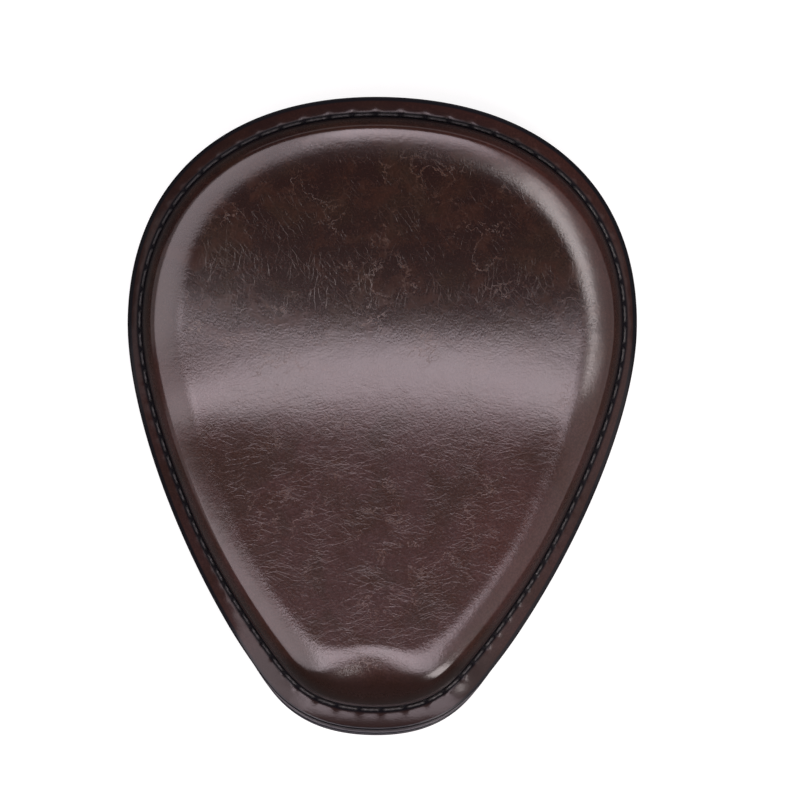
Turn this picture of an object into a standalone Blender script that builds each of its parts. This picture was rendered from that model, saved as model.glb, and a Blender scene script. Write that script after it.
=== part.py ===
"""Solo motorcycle seat: a leather-covered foam pad on a pressed steel pan.

Frame: +Z up, +Y towards the rear of the motorcycle, +X towards the seat's right as it is seen
from above with its rear at the top. The origin is under the middle of the seat, level with the
lowest point of its rim. Metres.

How it is built, from the top down:
  top_cover          moulded leather, with a flange all round
  foam_pad           moulded foam, glued to the pan
  seat_pan           pressed steel, with its rim turned down and two flats
  rim_filler         leather strip that fills the flange beside the pan's edge
  underside_cover    leather ring that traps the pan's edge from below
  needle_thread, bobbin_thread      the two threads of the lockstitch that closes the flange
  nose_plate, rear_*_plate          doubler plates welded under the pan's flats
  nose_nut_*, rear_*_nut_*          M8 weld nuts on top of the pan, in pockets of the foam
"""

import math

import bmesh
import bpy
import numpy as np

MM = 0.001

# Driving dimensions of the plan.
LENGTH = 330 * MM
WIDTH = 265.8 * MM
WIDEST_AT = 47 * MM
NOSE_CORNER = (61 * MM, -134 * MM)
NOSE_CORNER_SLOPE = math.radians(54)
OUTLINE_REACH = (82 * MM, 74.5 * MM, 44 * MM, 76 * MM, 18 * MM, 37 * MM)

# Driving heights, above the lowest point of the rim.
RIM_LOW = 4.236 * MM
RIM_REAR_RISE = 46 * MM
RIM_NOSE_RISE = 18.5 * MM
RIM_FLAT_HALF = 38 * MM
PAN_DROP = 16 * MM
PAN_REAR_RISE = 44 * MM
PAN_NOSE_RISE = 1.5 * MM
PAN_LOW_AT = -10 * MM
TURN_WIDTH = 60 * MM
TURN_POWER = 4

# The seat's upper surface: a dish along and across, which rolls over at its edge.
VALLEY_AT = 20 * MM
VALLEY_BEND = 1.45
VALLEY_BEND_HALF = 38 * MM
VALLEY_HEIGHT = 41.6 * MM
DISH_ACROSS = 0.26
DISH_RADIUS = 200 * MM
REAR_SLOPE = 0.52
NOSE_SLOPE = 0.17
ROLL_STATIONS = (
    (-150 * MM, 16 * MM),
    (-100 * MM, 15 * MM),
    (100 * MM, 15 * MM),
    (165 * MM, 14 * MM),
)
ROLL_POWER = 2.5
CROWN_STATIONS = (
    (-150 * MM, 21.5 * MM),
    (-70 * MM, 19 * MM),
    (60 * MM, 22 * MM),
    (165 * MM, 25 * MM),
)
CROWN_RADIUS = 38 * MM
CROWN_SLOPE = 0.47
NOSE_SCOOP = 17 * MM
NOSE_SCOOP_HALF = 24 * MM

# Distance from the rim's edge to the seam, at four stations along the seat.
SEAM_STATIONS = (
    (-165 * MM, 12.0 * MM),
    (-60 * MM, 8.6 * MM),
    (47 * MM, 6.9 * MM),
    (165 * MM, 9.8 * MM),
)

# Layers of the flange, from the grain side down.
TOP_LEATHER = 1.6 * MM
CORE = 2.0 * MM
BOTTOM_LEATHER = 1.4 * MM
GAP = 0.3 * MM
CORE_DEPTH = TOP_LEATHER + GAP
BOTTOM_DEPTH = CORE_DEPTH + CORE + GAP
WALL_FROM_SEAM = 2.4 * MM
THREAD_RADIUS = 0.9 * MM

# Mounting hardware. Each pad has a centre, a half size and its nuts' places along X.
PLATE_THICKNESS = 3 * MM
PLATE_CORNER = 5 * MM
NOSE_PAD = {"centre": (0.0, -105 * MM), "half": (30 * MM, 16 * MM), "nuts": (-18 * MM, 18 * MM)}
REAR_PAD_X = 62 * MM
REAR_PAD = {"centre": (REAR_PAD_X, 48 * MM), "half": (28 * MM, 16 * MM), "nuts": (-13 * MM, 13 * MM)}
PAD_MARGIN = 8 * MM
PAD_BLEND = 20 * MM
BOLT_HOLE_RADIUS = 4.3 * MM
NUT_BORE_RADIUS = 3.4 * MM
NUT_BORE_SIDES = 18
NUT_ACROSS_FLATS = 13 * MM
NUT_HEIGHT = 6.5 * MM
NUT_POCKET_RADIUS = 9.5 * MM
NUT_POCKET_HEIGHT = 12 * MM
DRILL_REACH = 12 * MM

# Rings of the surfaces, from the edge inwards.
SEGMENTS = 64
FINE_OUTLINE = 1200
MIDDLE = np.array([0.0, 8 * MM])
ROLL_SHARES = (0.06, 0.2, 0.42, 0.7, 1.0)
ROLL_RING_LIMIT = 18 * MM
CROWN_RINGS = (21 * MM, 28 * MM)
COVER_INNER = (0.82, 0.64, 0.46, 0.3, 0.15)
FORM_RINGS = (2.6 * MM, 3.6 * MM, 6.5 * MM, 11 * MM, 17 * MM, 27 * MM)
FORM_INNER = (0.88, 0.76, 0.64, 0.52, 0.39, 0.26, 0.13)
SEAM_RING = slice(1, 2)
FILLER_RINGS = slice(0, 3)
PAN_RINGS = slice(3, None)
UNDERSIDE_RINGS = slice(0, 7)
FOAM_FORM_RINGS = slice(4, None)
FOAM_COVER_RINGS = slice(3, None)

COLOURS = {
    "cover_leather": ((0.075, 0.030, 0.022), 0.38, 0.0),
    "black_leather": ((0.018, 0.016, 0.016), 0.55, 0.0),
    "foam": ((0.55, 0.50, 0.38), 0.95, 0.0),
    "pan_steel": ((0.020, 0.020, 0.022), 0.45, 0.6),
    "zinc_steel": ((0.62, 0.62, 0.60), 0.35, 1.0),
    "thread": ((0.012, 0.012, 0.013), 0.60, 0.0),
}


def clear_scene():
    for obj in list(bpy.data.objects):
        bpy.data.objects.remove(obj, do_unlink=True)


def material(name):
    """A Principled material with the slot's colour, roughness and metallic value."""
    found = bpy.data.materials.get(name)
    if found:
        return found
    colour, roughness, metallic = COLOURS[name]
    made = bpy.data.materials.new(name)
    made.use_nodes = True
    shader = made.node_tree.nodes["Principled BSDF"]
    shader.inputs["Base Color"].default_value = (*colour, 1.0)
    shader.inputs["Roughness"].default_value = roughness
    shader.inputs["Metallic"].default_value = metallic
    return made


# ---- plan outline ----------------------------------------------------------------------------


def cubic(points, count):
    """Points along one cubic Bezier, without its last point."""
    a, b, c, d = (np.array(p) for p in points)
    t = np.linspace(0, 1, count, endpoint=False)[:, None]
    return (1 - t) ** 3 * a + 3 * (1 - t) ** 2 * t * b + 3 * (1 - t) * t**2 * c + t**3 * d


def half_outline():
    """The +X half of the plan outline, from the rear's middle to the nose's middle."""
    rear_end, nose_end = np.array([0, LENGTH / 2]), np.array([0, -LENGTH / 2])
    widest, corner = np.array([WIDTH / 2, WIDEST_AT]), np.array(NOSE_CORNER)
    right, forwards = np.array([1, 0]), np.array([0, -1])
    along = -np.array([math.cos(NOSE_CORNER_SLOPE), math.sin(NOSE_CORNER_SLOPE)])
    reach = OUTLINE_REACH
    rear = [rear_end, rear_end + reach[0] * right, widest - reach[1] * forwards, widest]
    side = [widest, widest + reach[2] * forwards, corner - reach[3] * along, corner]
    nose = [corner, corner + reach[4] * along, nose_end + reach[5] * right, nose_end]
    return np.vstack([cubic(rear, 200), cubic(side, 200), cubic(nose, 200), [nose_end]])


def outline(count):
    """count points at even steps along the closed outline, clockwise from the rear's middle."""
    right = half_outline()
    left = right[-2:0:-1] * np.array([-1, 1])
    loop = np.vstack([right, left, right[:1]])
    travelled = np.r_[0, np.cumsum(np.linalg.norm(np.diff(loop, axis=0), axis=1))]
    at = np.linspace(0, travelled[-1], count, endpoint=False)
    return np.stack([np.interp(at, travelled, loop[:, k]) for k in (0, 1)], axis=1)


def inward_normals(points):
    tangent = np.roll(points, -1, axis=0) - np.roll(points, 1, axis=0)
    tangent /= np.linalg.norm(tangent, axis=1)[:, None]
    return np.stack([tangent[:, 1], -tangent[:, 0]], axis=1)


EDGE = outline(FINE_OUTLINE)


def inset_of(x, y):
    """Distance of plan points from the outline."""
    shape = np.shape(x)
    px, py = np.ravel(x), np.ravel(y)
    gap = np.hypot(px[:, None] - EDGE[None, :, 0], py[:, None] - EDGE[None, :, 1])
    return gap.min(axis=1).reshape(shape)


# ---- heights ---------------------------------------------------------------------------------


def ease(t):
    """0 to 1 with flat ends."""
    t = np.clip(t, 0, 1)
    return t * t * (3 - 2 * t)


def through(stations, y):
    """A smooth value through (y, value) stations."""
    value = stations[0][1]
    for (y0, v0), (y1, v1) in zip(stations, stations[1:]):
        value = value + (v1 - v0) * ease((y - y0) / (y1 - y0))
    return value


def seam_inset(y):
    return through(SEAM_STATIONS, y)


def rim_height(y):
    """Height of the flange's grain side at the rim's edge."""
    end = LENGTH / 2 - RIM_FLAT_HALF
    rear = np.clip((y - RIM_FLAT_HALF) / end, 0, 1)
    nose = np.clip((-y - RIM_FLAT_HALF) / end, 0, 1)
    rear_rise = RIM_REAR_RISE * (1 - np.cos(math.pi / 2 * rear))
    nose_rise = RIM_NOSE_RISE * (1 - np.cos(math.pi / 2 * nose))
    return RIM_LOW + rear_rise + nose_rise


def spine_height(y):
    """Height of the pressed form along the seat's middle, before the flat pads."""
    rear = np.clip((y - PAN_LOW_AT) / (LENGTH / 2 - PAN_LOW_AT), 0, 1)
    nose = np.clip((PAN_LOW_AT - y) / (LENGTH / 2 + PAN_LOW_AT), 0, 1)
    return RIM_LOW + PAN_DROP + PAN_REAR_RISE * rear**2 + PAN_NOSE_RISE * nose**2


def pads():
    """The nose pad and both rear pads."""
    left = dict(REAR_PAD, centre=(-REAR_PAD["centre"][0], REAR_PAD["centre"][1]))
    return {"nose": NOSE_PAD, "rear_right": REAR_PAD, "rear_left": left}


def pad_height(pad):
    """Height of the pressed form's flat on a pad."""
    return float(spine_height(pad["centre"][1]))


def flats():
    """The pressed form's flats: one under the nose and one right across both rear pads."""
    across = (REAR_PAD_X + REAR_PAD["half"][0], REAR_PAD["half"][1])
    return NOSE_PAD, dict(REAR_PAD, centre=(0.0, REAR_PAD["centre"][1]), half=across)


def form_height(x, y, inset, _past_foot=None):
    """The pressed form: dished along, turned down at the rim, flat on the pads."""
    spine = spine_height(y)
    turn = np.clip(1 - inset / TURN_WIDTH, 0, 1) ** TURN_POWER
    z = spine - (spine - rim_height(y)) * turn
    for pad in flats():
        outside_x = np.maximum(np.abs(x - pad["centre"][0]) - pad["half"][0] - PAD_MARGIN, 0)
        outside_y = np.maximum(np.abs(y - pad["centre"][1]) - pad["half"][1] - PAD_MARGIN, 0)
        share = 1 - ease(np.hypot(outside_x, outside_y) / PAD_BLEND)
        z = z + (pad_height(pad) - z) * share
    return z


def dish(distance, slope):
    """Rise of a dish that starts round and ends as a straight slope."""
    reach = slope * DISH_RADIUS
    return slope * reach * np.log(np.cosh(np.maximum(distance, 0) / reach))


def pad_top_height(x, y):
    """The padded surface inside its rolled edge."""
    near = np.exp(-(((y - VALLEY_AT) / VALLEY_BEND_HALF) ** 2))
    valley = VALLEY_AT - VALLEY_BEND * x**2 * near
    along = dish(y - valley, REAR_SLOPE) + dish(valley - y, NOSE_SLOPE)
    return VALLEY_HEIGHT + along + DISH_ACROSS * x**2


def nose_scoop(x, y):
    """How much further in the padded surface starts, in the middle of the nose."""
    return NOSE_SCOOP * np.exp(-((x / NOSE_SCOOP_HALF) ** 2)) * ease((-y - 70 * MM) / (60 * MM))


def roll_width(x, y):
    """Plan width of the side wall, which turns over into the padded surface."""
    return through(ROLL_STATIONS, y) + nose_scoop(x, y)


def crown_drop(x, y, past_foot):
    """How far the padded surface falls off towards the wall."""
    reach = CROWN_SLOPE * CROWN_RADIUS
    left = np.maximum(through(CROWN_STATIONS, y) + 0.8 * nose_scoop(x, y) - past_foot, 0)
    return CROWN_SLOPE * reach * np.log(np.cosh(left / reach))


def cover_height(x, y, inset, past_foot):
    """The cover's grain side: flange, side wall and padded surface."""
    share = np.clip(past_foot / roll_width(x, y), 0, 1)
    roll = (1 - (1 - share) ** ROLL_POWER) ** (1 / ROLL_POWER)
    flange = form_height(x, y, inset)
    top = pad_top_height(x, y) - crown_drop(x, y, past_foot)
    return flange + (top - flange) * roll


# ---- ring surfaces ---------------------------------------------------------------------------


def ring_plan(insets, centre_shares=()):
    """Plan rings: the outline moved in by each inset, then the last ring shrunk to the middle.

    Each ring is its points, their insets and how far they are past the foot of the wall."""
    edge = outline(SEGMENTS)
    inward = inward_normals(edge)
    foot = seam_inset(edge[:, 1]) + WALL_FROM_SEAM
    made = [(edge + inward * inset[:, None], inset, inset - foot) for inset in insets]
    last = made[-1][0]
    inner = [MIDDLE + (last - MIDDLE) * share for share in centre_shares]
    if inner:
        inner.append(MIDDLE[None, :])
    for points in inner:
        inset = inset_of(points[:, 0], points[:, 1])
        made.append((points, inset, inset - seam_inset(points[:, 1]) - WALL_FROM_SEAM))
    return made


def ring_faces(sizes, first=0):
    """Upward triangles between consecutive rings; a ring of one point closes the surface.

    Neighbouring layers share the same diagonals, so that they stay parallel."""
    faces = []
    for outer, inner in zip(sizes, sizes[1:]):
        start = first + outer
        for k in range(outer):
            n = (k + 1) % outer
            if inner == 1:
                faces.append((start, first + n, first + k))
            else:
                faces += [(start + n, first + n, first + k), (start + k, start + n, first + k)]
        first = start
    return faces


class RingSurface:
    """A height function over plan rings, with the moves that sink it evenly."""

    def __init__(self, plan, height):
        self.sizes = [len(ring[0]) for ring in plan]
        flat, inset, past_foot = (np.concatenate(column) for column in zip(*plan))
        self.points = np.column_stack([flat, height(flat[:, 0], flat[:, 1], inset, past_foot)])
        self.sinks = self.even_sinks()

    def even_sinks(self):
        """For each point, the move that sinks every face around it by one unit."""
        around = [[] for _ in self.points]
        for face in ring_faces(self.sizes):
            a, b, c = self.points[list(face)]
            normal = np.cross(b - a, c - a)
            normal /= np.linalg.norm(normal)
            for k in face:
                around[k].append(normal)
        return np.array([-np.linalg.pinv(np.array(n), rcond=0.15) @ np.ones(len(n)) for n in around])

    def at(self, depth, rings=slice(None)):
        """Points sunk by a depth, and the ring sizes, over a run of rings."""
        starts = np.r_[0, np.cumsum(self.sizes)]
        first, last, _ = rings.indices(len(self.sizes))
        return (self.points + depth * self.sinks)[starts[first] : starts[last]], self.sizes[rings]


def closed_between(top, bottom):
    """Points and faces of the body between two ring surfaces."""
    (top_points, top_sizes), (low_points, low_sizes) = top, bottom
    shift = len(top_points)
    faces = ring_faces(top_sizes)
    faces += [face[::-1] for face in ring_faces(low_sizes, shift)]
    edges = [(0, shift, False)]
    if top_sizes[-1] > 1:
        edges.append((shift - SEGMENTS, shift + len(low_points) - SEGMENTS, True))
    for high, low, turned in edges:
        for k in range(SEGMENTS):
            n = (k + 1) % SEGMENTS
            face = (high + k, high + n, low + n, low + k)
            faces.append(face[::-1] if turned else face)
    return np.vstack([top_points, low_points]), faces


# ---- objects ---------------------------------------------------------------------------------


def add_object(name, data, slot=None):
    if slot:
        data.materials.append(material(slot))
    obj = bpy.data.objects.new(name, data)
    bpy.context.scene.collection.objects.link(obj)
    return obj


def add_body(name, slot, points, faces, sharp_degrees=40):
    data = bpy.data.meshes.new(name)
    data.from_pydata(points.tolist(), [], faces)
    data.shade_smooth()
    data.set_sharp_from_angle(angle=math.radians(sharp_degrees))
    return add_object(name, data, slot)


def add_mesh(mesh, name, slot, sharp_degrees=30):
    bmesh.ops.recalc_face_normals(mesh, faces=mesh.faces)
    data = bpy.data.meshes.new(name)
    mesh.to_mesh(data)
    mesh.free()
    data.shade_smooth()
    data.set_sharp_from_angle(angle=math.radians(sharp_degrees))
    return add_object(name, data, slot)


def cut(obj, cutter):
    """Boolean difference with a hidden cutter."""
    boolean = obj.modifiers.new("cut_" + cutter.name, "BOOLEAN")
    boolean.operation = "DIFFERENCE"
    boolean.object = cutter


def drill(name, radius, x, y, low, high, sides=24):
    """A hidden cylinder along Z, to cut holes with."""
    mesh = bmesh.new()
    ends = {"radius1": radius, "radius2": radius, "depth": high - low}
    bmesh.ops.create_cone(mesh, cap_ends=True, segments=sides, **ends)
    data = bpy.data.meshes.new(name)
    mesh.to_mesh(data)
    mesh.free()
    obj = add_object(name, data)
    obj.location = (x, y, (low + high) / 2)
    obj.hide_render = True
    obj.display_type = "WIRE"
    return obj


# ---- the pieces ------------------------------------------------------------------------------


def from_edge(distance):
    return np.full(SEGMENTS, distance)


def from_seam(distance):
    return seam_inset(outline(SEGMENTS)[:, 1]) + distance


def across_roll(share):
    """A ring at a share of the rolled edge's width."""
    x, y = outline(SEGMENTS).T
    return from_seam(WALL_FROM_SEAM) + share * np.minimum(roll_width(x, y), ROLL_RING_LIMIT)


def cover_surface():
    insets = [from_edge(0.0), from_seam(0.0), from_seam(WALL_FROM_SEAM)]
    insets += [across_roll(share) for share in ROLL_SHARES]
    insets += [from_seam(WALL_FROM_SEAM + distance) for distance in CROWN_RINGS]
    return RingSurface(ring_plan(insets, COVER_INNER), cover_height)


def form_surface():
    """One surface for every layer below the cover, so that all of them stay parallel."""
    insets = [from_edge(0.0), from_seam(0.0)] + [from_seam(distance) for distance in FORM_RINGS]
    return RingSurface(ring_plan(insets, FORM_INNER), form_height)


def build_shell(name, slot, surface, depth, thickness, rings=slice(None)):
    top = surface.at(depth, rings)
    bottom = surface.at(depth + thickness, rings)
    return add_body(name, slot, *closed_between(top, bottom))


def build_foam_pad(cover, form, pocket_drills):
    """Its top follows the cover and its bottom follows the pan."""
    top = cover.at(TOP_LEATHER + GAP, FOAM_COVER_RINGS)
    bottom = form.at(CORE_DEPTH - GAP, FOAM_FORM_RINGS)
    foam = add_body("foam_pad", "foam", *closed_between(top, bottom), sharp_degrees=55)
    for tool in pocket_drills:
        cut(foam, tool)


def build_thread(name, surface, depth):
    """A closed loop of thread along the seam, at a depth below the flange's grain side."""
    seam, _ = surface.at(depth, SEAM_RING)
    curve = bpy.data.curves.new(name, "CURVE")
    curve.dimensions = "3D"
    spline = curve.splines.new("POLY")
    spline.points.add(SEGMENTS - 1)
    spline.points.foreach_set("co", np.column_stack([seam, np.ones(SEGMENTS)]).ravel())
    spline.use_cyclic_u = True
    curve.bevel_depth = THREAD_RADIUS
    curve.bevel_resolution = 1
    add_object(name, curve, "thread")


def build_plate(name, pad, drills):
    """A doubler plate with rounded corners, under a flat of the pan."""
    top = pad_height(pad) - CORE_DEPTH - CORE - GAP
    mesh = bmesh.new()
    bmesh.ops.create_cube(mesh, size=1.0)
    size = (2 * pad["half"][0], 2 * pad["half"][1], PLATE_THICKNESS)
    bmesh.ops.scale(mesh, vec=size, verts=mesh.verts)
    upright = [e for e in mesh.edges if abs(e.verts[0].co.z - e.verts[1].co.z) > PLATE_THICKNESS / 2]
    bmesh.ops.bevel(mesh, geom=upright, offset=PLATE_CORNER, segments=5, affect="EDGES", profile=0.5)
    plate = add_mesh(mesh, name, "pan_steel")
    plate.location = (*pad["centre"], top - PLATE_THICKNESS / 2)
    for tool in drills:
        cut(plate, tool)


def ring_of(mesh, radius, sides, z):
    turns = [k * math.tau / sides for k in range(sides)]
    return [mesh.verts.new((radius * math.cos(a), radius * math.sin(a), z)) for a in turns]


def build_nut(name, x, y, base):
    """A hexagon weld nut with a tapped bore, standing on the pan."""
    mesh = bmesh.new()
    corner_radius = NUT_ACROSS_FLATS / 2 / math.cos(math.pi / 6)
    ends = []
    for z in (0.0, NUT_HEIGHT):
        end = (ring_of(mesh, corner_radius, 6, z), ring_of(mesh, NUT_BORE_RADIUS, NUT_BORE_SIDES, z))
        edges = [mesh.edges.new((ring[k - 1], ring[k])) for ring in end for k in range(len(ring))]
        bmesh.ops.triangle_fill(mesh, edges=edges, use_beauty=True)
        ends.append(end)
    for low, high in zip(*ends):
        for k in range(len(low)):
            mesh.faces.new((low[k - 1], low[k], high[k], high[k - 1]))
    nut = add_mesh(mesh, name, "zinc_steel")
    nut.location = (x, y, base)


def nut_label(side, x):
    if side == "nose":
        return "nose_nut_left" if x < 0 else "nose_nut_right"
    return side + ("_nut_outer" if abs(x) > REAR_PAD_X else "_nut_inner")


def build_mounting_hardware():
    """Plates and nuts; returns the drills for the pan and for the foam's nut pockets."""
    bolt_drills, pocket_drills = [], []
    for side, pad in pads().items():
        pan_top = pad_height(pad) - CORE_DEPTH
        below = pan_top - DRILL_REACH
        here = []
        for dx in pad["nuts"]:
            x, y = pad["centre"][0] + dx, pad["centre"][1]
            label = nut_label(side, x)
            build_nut(label, x, y, pan_top + GAP)
            here.append(drill("bolt_" + label, BOLT_HOLE_RADIUS, x, y, below, pan_top + GAP))
            pocket = ("pocket_" + label, NUT_POCKET_RADIUS, x, y, below, pan_top + NUT_POCKET_HEIGHT)
            pocket_drills.append(drill(*pocket, sides=16))
        build_plate(side + "_plate", pad, here)
        bolt_drills += here
    return bolt_drills, pocket_drills


def main():
    clear_scene()
    bolt_drills, pocket_drills = build_mounting_hardware()
    cover, form = cover_surface(), form_surface()
    build_shell("top_cover", "cover_leather", cover, 0.0, TOP_LEATHER)
    build_foam_pad(cover, form, pocket_drills)
    seat_pan = build_shell("seat_pan", "pan_steel", form, CORE_DEPTH, CORE, PAN_RINGS)
    for tool in bolt_drills:
        cut(seat_pan, tool)
    build_shell("rim_filler", "black_leather", form, CORE_DEPTH, CORE, FILLER_RINGS)
    build_shell("underside_cover", "black_leather", form, BOTTOM_DEPTH, BOTTOM_LEATHER, UNDERSIDE_RINGS)
    build_thread("needle_thread", form, -(THREAD_RADIUS + GAP))
    build_thread("bobbin_thread", form, BOTTOM_DEPTH + BOTTOM_LEATHER + THREAD_RADIUS + GAP)


main()
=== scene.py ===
"""The looks of a solo motorcycle seat: glossy brown leather, a stitched flange and a painted pan.

Lengths are in metres. The seat's rear is at +Y, and the camera looks straight down on it.
"""

import math

import bmesh
import bpy
import numpy as np
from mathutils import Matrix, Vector


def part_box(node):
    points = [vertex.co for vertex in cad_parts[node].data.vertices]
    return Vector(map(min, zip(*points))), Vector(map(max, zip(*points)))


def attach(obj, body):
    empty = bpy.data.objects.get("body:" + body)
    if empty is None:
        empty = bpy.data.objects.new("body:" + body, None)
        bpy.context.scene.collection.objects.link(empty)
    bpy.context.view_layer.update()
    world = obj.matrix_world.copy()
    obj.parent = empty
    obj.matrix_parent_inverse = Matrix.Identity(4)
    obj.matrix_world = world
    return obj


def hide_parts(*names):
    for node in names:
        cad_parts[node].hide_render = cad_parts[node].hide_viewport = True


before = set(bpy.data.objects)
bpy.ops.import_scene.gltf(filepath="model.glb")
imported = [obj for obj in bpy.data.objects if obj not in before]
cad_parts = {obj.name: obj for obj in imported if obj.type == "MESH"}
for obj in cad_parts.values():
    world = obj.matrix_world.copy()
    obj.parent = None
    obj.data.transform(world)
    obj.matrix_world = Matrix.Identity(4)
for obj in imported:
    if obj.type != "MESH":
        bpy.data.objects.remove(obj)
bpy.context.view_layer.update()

MM = 0.001
RNG = np.random.default_rng(7)

# ---- the seat's shape: the plan and heights of the CAD, with a finer edge ----------------------

COVER_LOW, COVER_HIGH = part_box("top_cover")
LENGTH = COVER_HIGH.y - COVER_LOW.y
WIDTH = 265.8 * MM
WIDEST_AT = 47 * MM
# Where the side turns into the nose, and the slope of the outline there.
NOSE_CORNER = (61 * MM, -134 * MM)
NOSE_CORNER_SLOPE = math.radians(54)
# How far the handles reach out from both ends of the rear, side and nose curves.
OUTLINE_REACH = (82 * MM, 74.5 * MM, 44 * MM, 76 * MM, 18 * MM, 37 * MM)

# The rim of the pressed form and its middle line, above the lowest point of the seat.
RIM_LOW = 4.236 * MM
RIM_REAR_RISE = 46 * MM
RIM_NOSE_RISE = 18.5 * MM
RIM_FLAT_HALF = 38 * MM
PAN_DROP = 16 * MM
PAN_REAR_RISE = 44 * MM
PAN_NOSE_RISE = 1.5 * MM
PAN_LOW_AT = -10 * MM
TURN_WIDTH = 60 * MM
TURN_POWER = 4

# The padded surface: a valley across the seat, bent forwards at the sides.
VALLEY_AT = 20 * MM
VALLEY_BEND = 1.45
VALLEY_BEND_HALF = 38 * MM
VALLEY_SKEW = 0.045
VALLEY_HEIGHT = 41.6 * MM
DISH_ACROSS = 0.20
DISH_RADIUS = 200 * MM
REAR_SLOPE = 0.52
NOSE_SLOPE = 0.17

SEAM_STATIONS = (
    (-165 * MM, 12.0 * MM),
    (-60 * MM, 8.6 * MM),
    (47 * MM, 6.9 * MM),
    (165 * MM, 9.8 * MM),
)
TOP_LEATHER = 1.6 * MM
CORE = 2.0 * MM
BOTTOM_LEATHER = 1.4 * MM
GAP = 0.3 * MM
CORE_DEPTH = TOP_LEATHER + GAP
BOTTOM_DEPTH = CORE_DEPTH + CORE + GAP
WALL_FROM_SEAM = 2.4 * MM

NOSE_PAD = {"centre": (0.0, -105 * MM), "half": (30 * MM, 16 * MM)}
REAR_FLAT = {"centre": (0.0, 48 * MM), "half": (90 * MM, 16 * MM)}
PAD_MARGIN = 8 * MM
PAD_BLEND = 20 * MM

SEGMENTS = 720
MIDDLE = np.array([0.0, 8 * MM])


def ease(t):
    """0 to 1 with flat ends."""
    t = np.clip(t, 0, 1)
    return t * t * (3 - 2 * t)


def cubic(points, count):
    """Points along one cubic Bezier, without its last point."""
    a, b, c, d = (np.array(p) for p in points)
    t = np.linspace(0, 1, count, endpoint=False)[:, None]
    return (1 - t) ** 3 * a + 3 * (1 - t) ** 2 * t * b + 3 * (1 - t) * t**2 * c + t**3 * d


def half_outline():
    """The +X half of the plan outline, from the rear's middle to the nose's middle."""
    rear_end, nose_end = np.array([0, LENGTH / 2]), np.array([0, -LENGTH / 2])
    widest, corner = np.array([WIDTH / 2, WIDEST_AT]), np.array(NOSE_CORNER)
    right, forwards = np.array([1, 0]), np.array([0, -1])
    along = -np.array([math.cos(NOSE_CORNER_SLOPE), math.sin(NOSE_CORNER_SLOPE)])
    reach = OUTLINE_REACH
    rear = [rear_end, rear_end + reach[0] * right, widest - reach[1] * forwards, widest]
    side = [widest, widest + reach[2] * forwards, corner - reach[3] * along, corner]
    nose = [corner, corner + reach[4] * along, nose_end + reach[5] * right, nose_end]
    return np.vstack([cubic(rear, 400), cubic(side, 400), cubic(nose, 400), [nose_end]])


def outline(count):
    """count points at even steps, clockwise from the rear's middle."""
    right = half_outline()
    left = right[-2:0:-1] * np.array([-1, 1])
    loop = np.vstack([right, left, right[:1]])
    travelled = np.r_[0, np.cumsum(np.linalg.norm(np.diff(loop, axis=0), axis=1))]
    at = np.linspace(0, travelled[-1], count, endpoint=False)
    return np.stack([np.interp(at, travelled, loop[:, k]) for k in (0, 1)], axis=1), travelled[-1]


EDGE, PERIMETER = outline(SEGMENTS)
TANGENT_SMOOTHINGS = 12


def inward_normals():
    """Plan normals of the outline, smoothed so that inner rings stay even at the nose corners."""
    tangent = np.roll(EDGE, -2, axis=0) - np.roll(EDGE, 2, axis=0)
    for _ in range(TANGENT_SMOOTHINGS):
        tangent = (np.roll(tangent, 1, 0) + 2 * tangent + np.roll(tangent, -1, 0)) / 4
    tangent /= np.linalg.norm(tangent, axis=1)[:, None]
    return np.stack([tangent[:, 1], -tangent[:, 0]], axis=1)


INWARD = inward_normals()


def inset_of(x, y):
    """Distance of plan points from the outline."""
    flat = np.column_stack([np.ravel(x), np.ravel(y)])
    found = []
    for part in np.array_split(flat, max(1, len(flat) // 4000)):
        gap = np.hypot(part[:, None, 0] - EDGE[None, :, 0], part[:, None, 1] - EDGE[None, :, 1])
        found.append(gap.min(axis=1))
    return np.concatenate(found).reshape(np.shape(x))


def through(stations, y):
    """A smooth value through (y, value) stations."""
    value = stations[0][1]
    for (y0, v0), (y1, v1) in zip(stations, stations[1:]):
        value = value + (v1 - v0) * ease((y - y0) / (y1 - y0))
    return value


def seam_inset(y):
    return through(SEAM_STATIONS, y)


def rim_height(y):
    end = LENGTH / 2 - RIM_FLAT_HALF
    rear = np.clip((y - RIM_FLAT_HALF) / end, 0, 1.2)
    nose = np.clip((-y - RIM_FLAT_HALF) / end, 0, 1.2)
    rear_rise = RIM_REAR_RISE * (1 - np.cos(math.pi / 2 * rear))
    nose_rise = RIM_NOSE_RISE * (1 - np.cos(math.pi / 2 * nose))
    return RIM_LOW + rear_rise + nose_rise


def spine_height(y):
    rear = np.clip((y - PAN_LOW_AT) / (LENGTH / 2 - PAN_LOW_AT), 0, 1.2)
    nose = np.clip((PAN_LOW_AT - y) / (LENGTH / 2 + PAN_LOW_AT), 0, 1.2)
    return RIM_LOW + PAN_DROP + PAN_REAR_RISE * rear**2 + PAN_NOSE_RISE * nose**2


def form_height(x, y, inset):
    """The pressed form that the flange follows."""
    spine = spine_height(y)
    turn = np.clip(1 - inset / TURN_WIDTH, 0, 1.2) ** TURN_POWER
    z = spine - (spine - rim_height(y)) * turn
    for pad in (NOSE_PAD, REAR_FLAT):
        outside_x = np.maximum(np.abs(x - pad["centre"][0]) - pad["half"][0] - PAD_MARGIN, 0)
        outside_y = np.maximum(np.abs(y - pad["centre"][1]) - pad["half"][1] - PAD_MARGIN, 0)
        share = 1 - ease(np.hypot(outside_x, outside_y) / PAD_BLEND)
        z = z + (spine_height(pad["centre"][1]) - z) * share
    return z


def dish(distance, slope):
    """Rise of a dish that starts round and ends as a straight slope."""
    reach = slope * DISH_RADIUS
    return slope * reach * np.log(np.cosh(np.maximum(distance, 0) / reach))


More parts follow.
